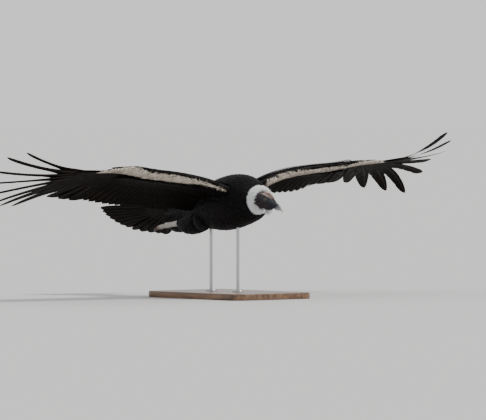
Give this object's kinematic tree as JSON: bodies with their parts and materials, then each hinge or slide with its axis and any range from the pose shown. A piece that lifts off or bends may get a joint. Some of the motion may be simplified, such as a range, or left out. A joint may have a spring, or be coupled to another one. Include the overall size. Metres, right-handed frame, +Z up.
{
  "type": "andean condor",
  "caption": "Life-size still model of an adult male andean condor gliding with wings spread, feet tucked back, held over a flat display base by short rods.",
  "frame": {"origin": "centre of the display base's underside", "axes": "+Z up, the bird faces -Y, its left wing is on +X and the wings spread along X"},
  "size_m": [2.9177, 1.1961, 0.8306],
  "materials": {
    "plumage": "dull black body feathers with a faint sheen",
    "flight_feathers": "satin black vanes, pale outer webs on the secondaries and coverts above",
    "ruff_down": "matte white down",
    "head_skin": "bare folded skin, dull with a slight sheen",
    "neck_skin": "bare folded skin, dull",
    "bill_horn": "satin horn, ivory at the tip and dark at the base",
    "eye": "wet gloss",
    "foot_scales": "dry scales",
    "base_wood": "satin varnish",
    "stand_steel": "brushed"
  },
  "bodies": {
    "root": {"torso": "plumage", "neck": "neck_skin", "ruff": "ruff_down", "head": "head_skin", "bill_upper": "bill_horn", "bill_lower": "bill_horn", "eye_left": "eye", "eye_right": "eye", "wing_left_arm": "flight_feathers", "wing_left_hand": "flight_feathers", "wing_right_arm": "flight_feathers", "wing_right_hand": "flight_feathers", "tail": "flight_feathers", "thigh_left": "plumage", "thigh_right": "plumage", "foot_left": "foot_scales", "foot_right": "foot_scales", "stand_base": "base_wood", "stand_plate_front": "stand_steel", "stand_plate_rear": "stand_steel", "stand_rod_front": "stand_steel", "stand_rod_rear": "stand_steel"}
  },
  "joints": []
}
